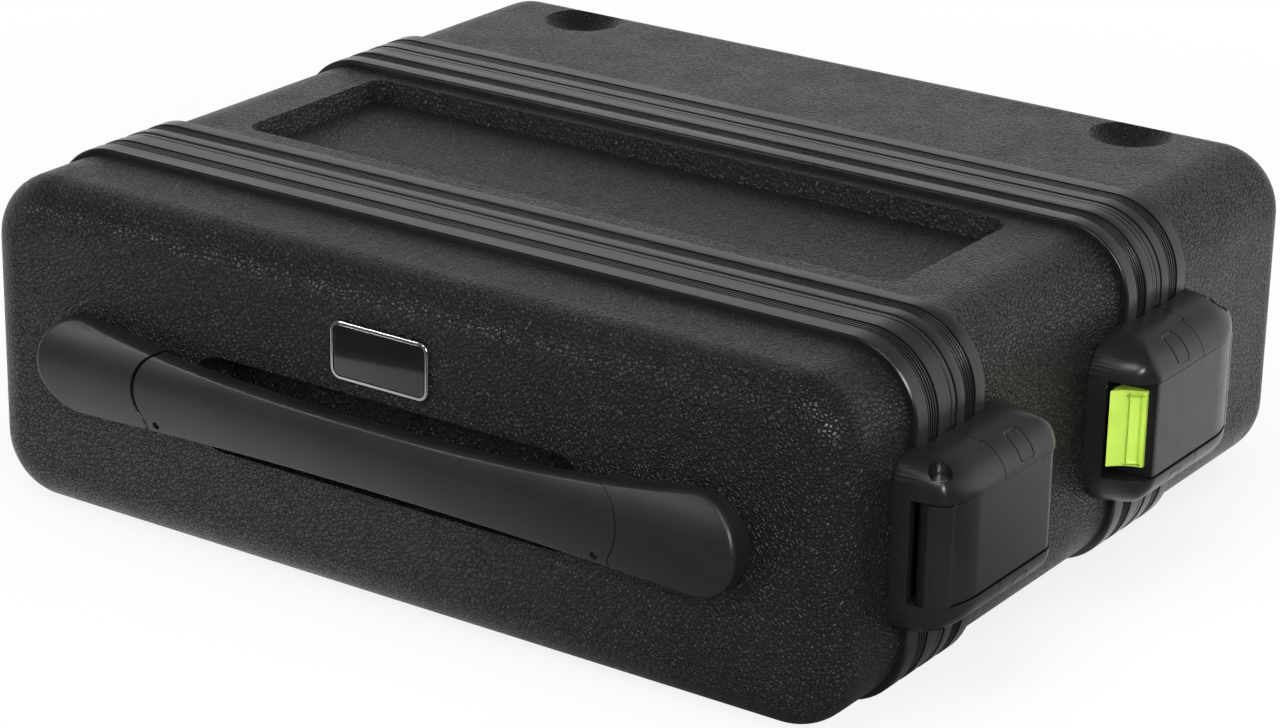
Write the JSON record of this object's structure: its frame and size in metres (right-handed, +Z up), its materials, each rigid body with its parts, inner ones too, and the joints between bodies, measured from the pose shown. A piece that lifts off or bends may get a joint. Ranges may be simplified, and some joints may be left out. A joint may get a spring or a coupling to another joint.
{
  "type": "microphone case",
  "caption": "Moulded microphone case with removable front and rear covers, trigger-release latches, a folding grip and foam bays for a receiver and microphones.",
  "frame": {"origin": "under the middle of the case's box, on the surface that the case lies on", "axes": "+X along the case's width towards the right latches, -Y towards the carrying handle, +Z up"},
  "size_m": [0.4164, 0.3366, 0.1308],
  "materials": {
    "moulded_shell": "black polyethylene with a fine pebble grain",
    "band": "smooth black, satin, fine grooves",
    "latch_plastic": "smooth black nylon, semi-gloss",
    "trigger_green": "lime green, smooth",
    "handle_plastic": "smooth black, satin",
    "grip_plastic": "smooth black, satin",
    "badge_rim": "bright rim",
    "badge_face": "bare, glossy black",
    "gasket": "matt black",
    "foam": "closed-cell foam, charcoal",
    "rivet_steel": "plated steel",
    "steel": "plated steel"
  },
  "bodies": {
    "body": {"body_shell": "moulded_shell", "body_foam": "foam", "body_front_band": "band", "body_rear_band": "band", "front_gasket": "gasket", "rear_gasket": "gasket", "body_front_rivets": "rivet_steel", "body_rear_rivets": "rivet_steel", "front_right_keeper_base": "latch_plastic", "front_right_keeper_plate": "steel", "front_left_keeper_base": "latch_plastic", "front_left_keeper_plate": "steel", "rear_right_keeper_base": "latch_plastic", "rear_right_keeper_plate": "steel", "rear_left_keeper_base": "latch_plastic", "rear_left_keeper_plate": "steel"},
    "front_cover": {"front_cover_shell": "moulded_shell", "front_cover_band": "band", "front_cover_foam": "foam", "front_cover_rivets": "rivet_steel", "badge_bezel": "badge_rim", "badge_plate": "badge_face", "handle_left_cap": "handle_plastic", "handle_right_cap": "handle_plastic", "handle_screws": "steel", "handle_pivot_pins": "steel", "front_right_hinge_base": "latch_plastic", "front_right_hinge_pin": "steel", "front_left_hinge_base": "latch_plastic", "front_left_hinge_pin": "steel"},
    "rear_cover": {"rear_cover_shell": "moulded_shell", "rear_cover_band": "band", "rear_cover_foam": "foam", "rear_cover_rivets": "rivet_steel", "rear_right_hinge_base": "latch_plastic", "rear_right_hinge_pin": "steel", "rear_left_hinge_base": "latch_plastic", "rear_left_hinge_pin": "steel"},
    "handle": {"handle_grip": "grip_plastic", "handle_core": "steel"},
    "front_right_lever": {"front_right_lever": "latch_plastic", "front_right_trigger_spring": "steel"},
    "front_right_trigger": {"front_right_trigger": "trigger_green"},
    "front_left_lever": {"front_left_lever": "latch_plastic", "front_left_trigger_spring": "steel"},
    "front_left_trigger": {"front_left_trigger": "trigger_green"},
    "rear_right_lever": {"rear_right_lever": "latch_plastic", "rear_right_trigger_spring": "steel"},
    "rear_right_trigger": {"rear_right_trigger": "trigger_green"},
    "rear_left_lever": {"rear_left_lever": "latch_plastic", "rear_left_trigger_spring": "steel"},
    "rear_left_trigger": {"rear_left_trigger": "trigger_green"}
  },
  "joints": [
    {"name": "front_cover_pull", "type": "slide", "parent": "body", "child": "front_cover", "axis": [0, -1, 0], "range_m": [0, 0.12]},
    {"name": "rear_cover_pull", "type": "slide", "parent": "body", "child": "rear_cover", "axis": [0, 1, 0], "range_m": [0, 0.12]},
    {"name": "handle_swing", "type": "hinge", "parent": "front_cover", "child": "handle", "pos_m": [0, -0.1631, 0.053], "axis": [1, 0, 0], "range_deg": [0, 90]},
    {"name": "front_right_latch_lift", "type": "hinge", "parent": "front_cover", "child": "front_right_lever", "pos_m": [0.199, -0.1197, 0.0654], "axis": [0, 0, -1], "range_deg": [0, 110]},
    {"name": "front_right_trigger_press", "type": "slide", "parent": "front_right_lever", "child": "front_right_trigger", "axis": [0, -1, 0], "range_m": [0, 0.003], "stiffness_N_per_m": 800, "springref_m": -0.004},
    {"name": "front_left_latch_lift", "type": "hinge", "parent": "front_cover", "child": "front_left_lever", "pos_m": [-0.199, -0.1197, 0.0654], "axis": [0, 0, 1], "range_deg": [0, 110]},
    {"name": "front_left_trigger_press", "type": "slide", "parent": "front_left_lever", "child": "front_left_trigger", "axis": [0, -1, 0], "range_m": [0, 0.003], "stiffness_N_per_m": 800, "springref_m": -0.004},
    {"name": "rear_right_latch_lift", "type": "hinge", "parent": "rear_cover", "child": "rear_right_lever", "pos_m": [0.199, 0.0798, 0.0654], "axis": [0, 0, 1], "range_deg": [0, 110]},
    {"name": "rear_right_trigger_press", "type": "slide", "parent": "rear_right_lever", "child": "rear_right_trigger", "axis": [0, 1, 0], "range_m": [0, 0.003], "stiffness_N_per_m": 800, "springref_m": -0.004},
    {"name": "rear_left_latch_lift", "type": "hinge", "parent": "rear_cover", "child": "rear_left_lever", "pos_m": [-0.199, 0.0798, 0.0654], "axis": [0, 0, -1], "range_deg": [0, 110]},
    {"name": "rear_left_trigger_press", "type": "slide", "parent": "rear_left_lever", "child": "rear_left_trigger", "axis": [0, 1, 0], "range_m": [0, 0.003], "stiffness_N_per_m": 800, "springref_m": -0.004}
  ]
}
